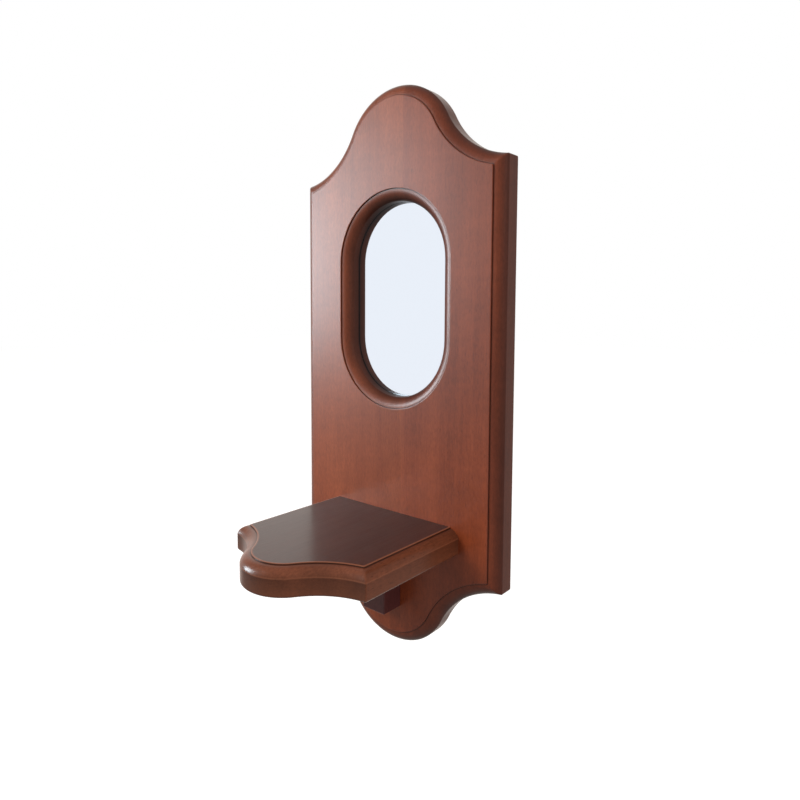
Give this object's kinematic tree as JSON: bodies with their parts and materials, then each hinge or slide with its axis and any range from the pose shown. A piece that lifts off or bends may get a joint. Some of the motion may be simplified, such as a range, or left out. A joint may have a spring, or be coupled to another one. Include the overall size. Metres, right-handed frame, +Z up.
{
  "type": "mirrored wall bracket shelf",
  "caption": "Wall bracket in stained wood: an ogee-ended back board with a recessed mirror, a small serpentine shelf on a block, and a keyhole hanger.",
  "frame": {"origin": "on the wall plane, on the axis of the wall screw in the hanger's slot, on the board's centre line", "axes": "+X to the right of someone facing the bracket, -Y out of the wall towards them, +Z up along the board"},
  "size_m": [0.136, 0.1105, 0.3],
  "materials": {
    "left_stave": "reddish-brown stain under satin lacquer",
    "right_stave": "reddish-brown stain under satin lacquer",
    "shelf_wood": "reddish-brown stain under satin lacquer",
    "dowel_wood": "plain beech",
    "mirror": "silvered glass",
    "felt": "pressed felt",
    "hardboard": "smooth hardboard",
    "plate_steel": "zinc plated",
    "screw_steel": "zinc plated",
    "pad_rubber": "matte"
  },
  "bodies": {
    "bracket": {"board_left": "left_stave", "board_right": "right_stave", "shelf": "shelf_wood", "shelf_block": "shelf_wood", "shelf_dowels": "dowel_wood", "block_dowel": "dowel_wood", "mirror_glass": "mirror", "mirror_felt": "felt", "mirror_backing": "hardboard", "turn_button_screws": "screw_steel", "hanger_plate": "plate_steel", "hanger_screws": "screw_steel", "shelf_screws": "screw_steel", "block_screws": "screw_steel", "wall_pads": "pad_rubber"},
    "turn_button_upper_left": {"turn_button_upper_left": "plate_steel"},
    "turn_button_upper_right": {"turn_button_upper_right": "plate_steel"},
    "turn_button_lower_left": {"turn_button_lower_left": "plate_steel"},
    "turn_button_lower_right": {"turn_button_lower_right": "plate_steel"}
  },
  "joints": [
    {"name": "upper_left_turn", "type": "hinge", "parent": "bracket", "child": "turn_button_upper_left", "pos_m": [-0.0297, -0.0032, -0.0338], "axis": [0, 1, 0], "continuous": true},
    {"name": "upper_right_turn", "type": "hinge", "parent": "bracket", "child": "turn_button_upper_right", "pos_m": [0.0297, -0.0032, -0.0338], "axis": [0, 1, 0], "continuous": true},
    {"name": "lower_left_turn", "type": "hinge", "parent": "bracket", "child": "turn_button_lower_left", "pos_m": [-0.0297, -0.0032, -0.1342], "axis": [0, 1, 0], "continuous": true},
    {"name": "lower_right_turn", "type": "hinge", "parent": "bracket", "child": "turn_button_lower_right", "pos_m": [0.0297, -0.0032, -0.1342], "axis": [0, 1, 0], "continuous": true}
  ]
}
